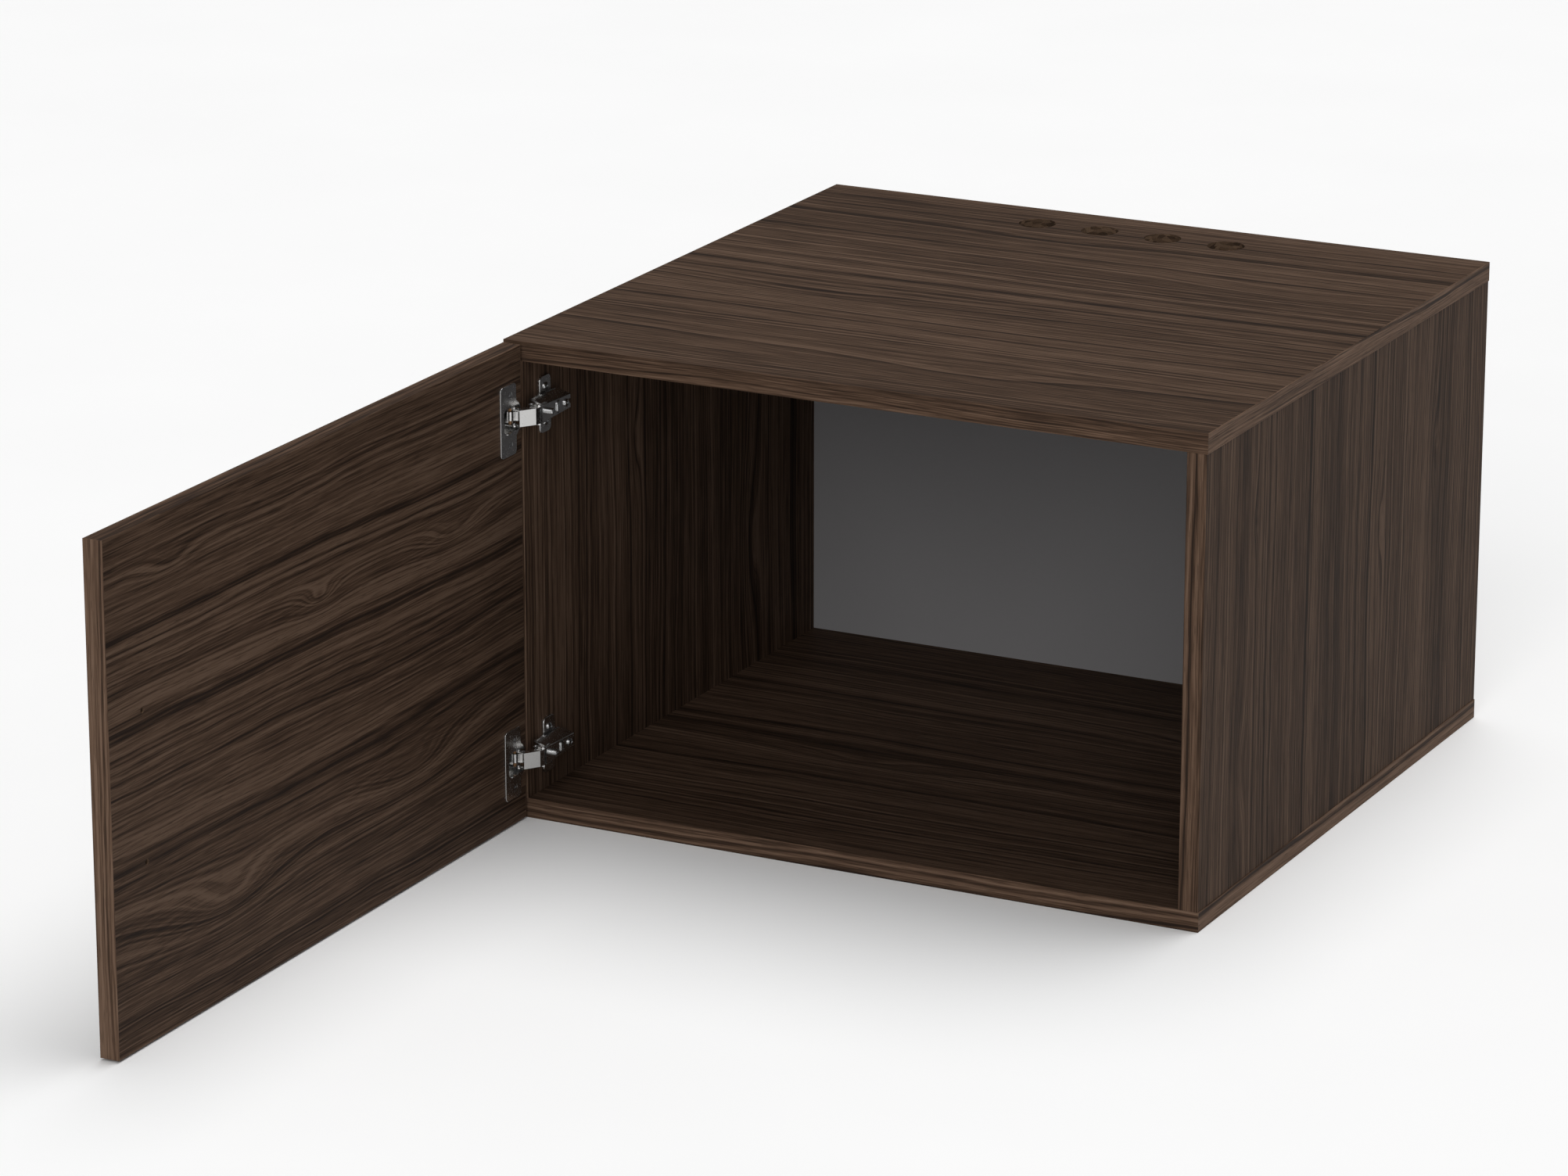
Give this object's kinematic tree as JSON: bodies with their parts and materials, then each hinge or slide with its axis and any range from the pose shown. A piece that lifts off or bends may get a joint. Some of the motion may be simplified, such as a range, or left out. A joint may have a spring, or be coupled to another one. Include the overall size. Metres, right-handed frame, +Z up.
{
  "type": "storage cabinet with one door",
  "caption": "Wide box-shaped storage cabinet with a side-hung door on concealed cup hinges, a recessed back panel and vent holes in the top.",
  "frame": {"origin": "centre of the carcass's underside", "axes": "+X to the right seen from the front, +Y to the back, +Z up; the door is stored standing open at a right angle at the left"},
  "size_m": [0.67, 1.3195, 0.44],
  "materials": {
    "walnut_board": "satin dark walnut foil on chipboard",
    "walnut_edge_band": "satin dark walnut edge strip",
    "grey_board": "matt grey lacquered fibreboard",
    "beech_dowel": "raw beech",
    "nickel_steel": "satin nickel plate",
    "screw_steel": "zinc plate",
    "spring_steel": "oiled spring steel",
    "bronze_roller": "sintered bronze"
  },
  "bodies": {
    "carcass": {"top_panel": "walnut_board", "bottom_panel": "walnut_board", "left_side_panel": "walnut_board", "right_side_panel": "walnut_board", "back_panel": "grey_board", "top_front_band": "walnut_edge_band", "top_left_band": "walnut_edge_band", "top_right_band": "walnut_edge_band", "bottom_front_band": "walnut_edge_band", "bottom_left_band": "walnut_edge_band", "bottom_right_band": "walnut_edge_band", "left_side_front_band": "walnut_edge_band", "right_side_front_band": "walnut_edge_band", "top_left_dowels": "beech_dowel", "top_right_dowels": "beech_dowel", "bottom_left_dowels": "beech_dowel", "bottom_right_dowels": "beech_dowel", "lower_hinge_arm": "nickel_steel", "lower_hinge_arm_pins": "screw_steel", "lower_hinge_leaf_spring": "spring_steel", "lower_hinge_mounting_plate": "nickel_steel", "lower_hinge_plate_screws": "screw_steel", "lower_hinge_side_screw": "screw_steel", "lower_hinge_depth_screw": "screw_steel", "lower_hinge_clamp_screw": "screw_steel", "upper_hinge_arm": "nickel_steel", "upper_hinge_arm_pins": "screw_steel", "upper_hinge_leaf_spring": "spring_steel", "upper_hinge_mounting_plate": "nickel_steel", "upper_hinge_plate_screws": "screw_steel", "upper_hinge_side_screw": "screw_steel", "upper_hinge_depth_screw": "screw_steel", "upper_hinge_clamp_screw": "screw_steel"},
    "hinge_outer_links": {"lower_hinge_outer_link": "nickel_steel", "upper_hinge_outer_link": "nickel_steel"},
    "hinge_inner_links": {"lower_hinge_inner_link": "nickel_steel", "upper_hinge_inner_link": "nickel_steel"},
    "door": {"door_panel": "walnut_board", "door_free_edge_band": "walnut_edge_band", "door_hinge_edge_band": "walnut_edge_band", "door_top_band": "walnut_edge_band", "door_bottom_band": "walnut_edge_band", "lower_hinge_cup": "nickel_steel", "lower_hinge_cup_screws": "screw_steel", "lower_hinge_cup_pins": "screw_steel", "lower_hinge_rollers": "bronze_roller", "upper_hinge_cup": "nickel_steel", "upper_hinge_cup_screws": "screw_steel", "upper_hinge_cup_pins": "screw_steel", "upper_hinge_rollers": "bronze_roller"}
  },
  "joints": [
    {"name": "outer_link_swing", "type": "hinge", "parent": "carcass", "child": "hinge_outer_links", "pos_m": [-0.301, -0.323, 0.217], "axis": [0, 0, 1], "range_deg": [-30, 3]},
    {"name": "inner_link_swing", "type": "hinge", "parent": "carcass", "child": "hinge_inner_links", "pos_m": [-0.309, -0.3225, 0.217], "axis": [0, 0, 1], "range_deg": [-16, 2]},
    {"name": "door_swing", "type": "hinge", "parent": "hinge_outer_links", "child": "door", "pos_m": [-0.31738, -0.33867, 0.217], "axis": [0, 0, 1], "range_deg": [-6.56, 118.17]}
  ],
  "couplings": [
    {"joint": "outer_link_swing", "follows": "door_swing", "ratio": -0.23838},
    {"joint": "inner_link_swing", "follows": "door_swing", "ratio": -0.122}
  ]
}
